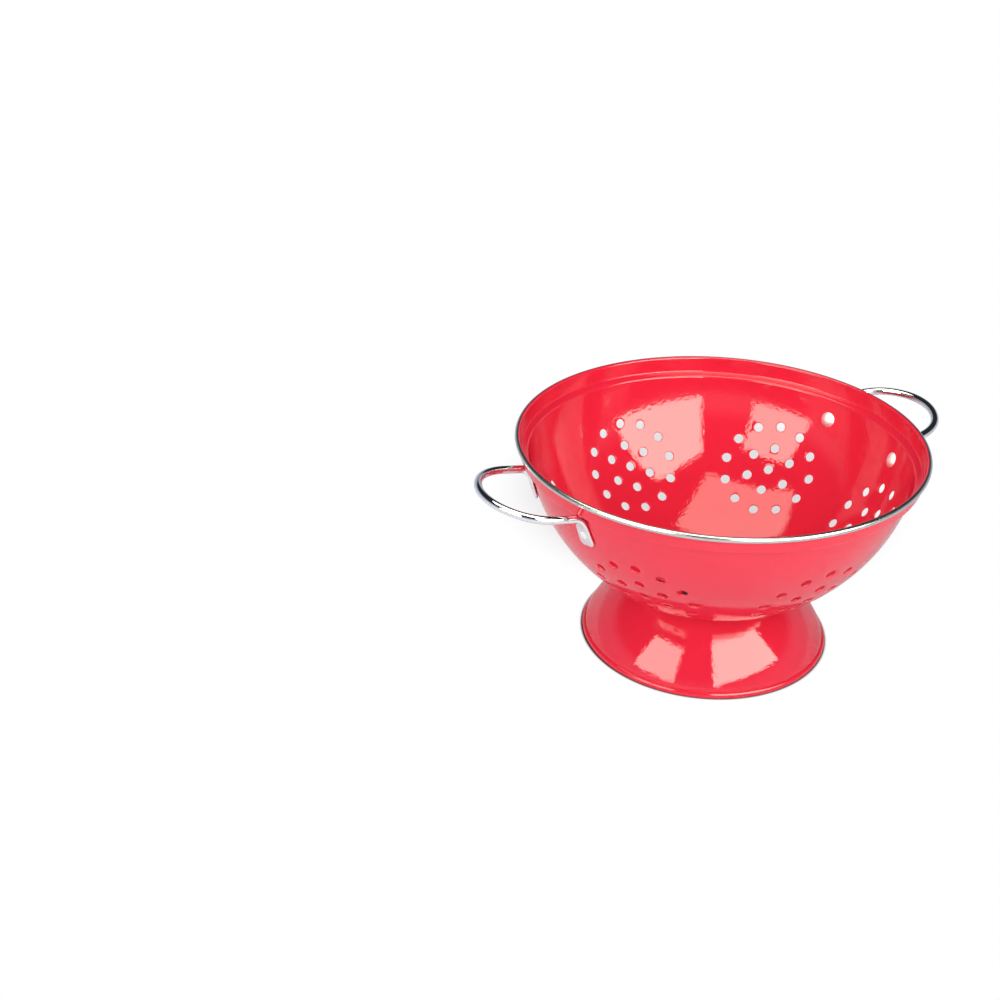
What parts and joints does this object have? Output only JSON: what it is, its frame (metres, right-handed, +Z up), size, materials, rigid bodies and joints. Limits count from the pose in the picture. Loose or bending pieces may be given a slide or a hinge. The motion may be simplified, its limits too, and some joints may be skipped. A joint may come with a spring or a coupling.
{
  "type": "footed colander",
  "caption": "Round footed colander in red coated sheet metal with a steel-trimmed rolled edge, drain holes in rosettes and a riveted wire handle on each side.",
  "frame": {"origin": "middle of the foot's resting plane, on the table", "axes": "+Z up along the bowl's axis, +X through the middle of the right handle, the two handles on X"},
  "size_m": [0.3044, 0.24, 0.1346],
  "materials": {
    "red_coating": "glossy red coating on sheet steel",
    "trim_steel": "polished stainless steel",
    "handle_chrome": "bright chrome-plated wire",
    "rivet_steel": "polished steel"
  },
  "bodies": {
    "root": {"bowl": "red_coating", "foot": "red_coating", "rim_trim": "trim_steel", "left_handle": "handle_chrome", "right_handle": "handle_chrome", "rivet_left_front": "rivet_steel", "rivet_left_back": "rivet_steel", "rivet_right_front": "rivet_steel", "rivet_right_back": "rivet_steel"}
  },
  "joints": []
}
